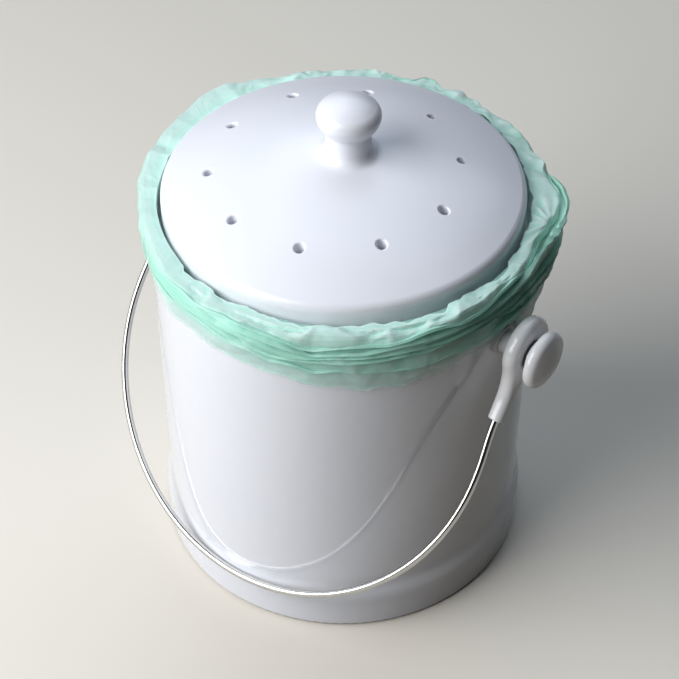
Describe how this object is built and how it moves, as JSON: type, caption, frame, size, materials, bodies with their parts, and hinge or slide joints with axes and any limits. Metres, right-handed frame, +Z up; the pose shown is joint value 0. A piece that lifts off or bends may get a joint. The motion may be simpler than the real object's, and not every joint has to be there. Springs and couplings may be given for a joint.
{
  "type": "compost bin",
  "caption": "Countertop compost bin: glazed crock with a vented, knobbed lid over a charcoal filter, a folded-over liner bag and a swinging wire bail.",
  "frame": {"origin": "centre of the crock's base, on the surface it stands on", "axes": "+Z up along the crock's axis; X along the bail's pivot axis; the bail hangs towards -Y"},
  "size_m": [0.2316, 0.1866, 0.2507],
  "materials": {
    "glaze": "glossy white glaze",
    "gasket": "matte silicone",
    "charcoal": "open carbon foam",
    "holder_plastic": "satin moulded",
    "film": "thin translucent film",
    "steel": "drawn and polished wire",
    "lug_plastic": "glossy moulded",
    "bush_plastic": "satin moulded",
    "washer_plastic": "matte",
    "brass": "machined"
  },
  "bodies": {
    "crock_body": {"crock": "glaze", "liner_bag": "film", "left_pivot_bush": "bush_plastic", "right_pivot_bush": "bush_plastic", "left_pivot_button": "lug_plastic", "right_pivot_button": "lug_plastic", "left_pivot_screw": "steel", "right_pivot_screw": "steel", "left_steel_washer": "steel", "right_steel_washer": "steel", "left_seal_washer": "gasket", "right_seal_washer": "gasket", "left_outer_washer": "washer_plastic", "right_outer_washer": "washer_plastic", "left_thread_insert": "brass", "right_thread_insert": "brass"},
    "lid_body": {"lid": "glaze", "lid_gasket": "gasket", "charcoal_filter": "charcoal", "filter_holder": "holder_plastic"},
    "bail_body": {"bail_wire": "steel", "left_bail_lug": "lug_plastic", "right_bail_lug": "lug_plastic"}
  },
  "joints": [
    {"name": "lid_lift", "type": "slide", "parent": "crock_body", "child": "lid_body", "axis": [0, 0, 1], "range_m": [0, 0.06]},
    {"name": "bail_swing", "type": "hinge", "parent": "crock_body", "child": "bail_body", "pos_m": [0, 0, 0.161], "axis": [-1, 0, 0], "range_deg": [0, 292.8]}
  ]
}
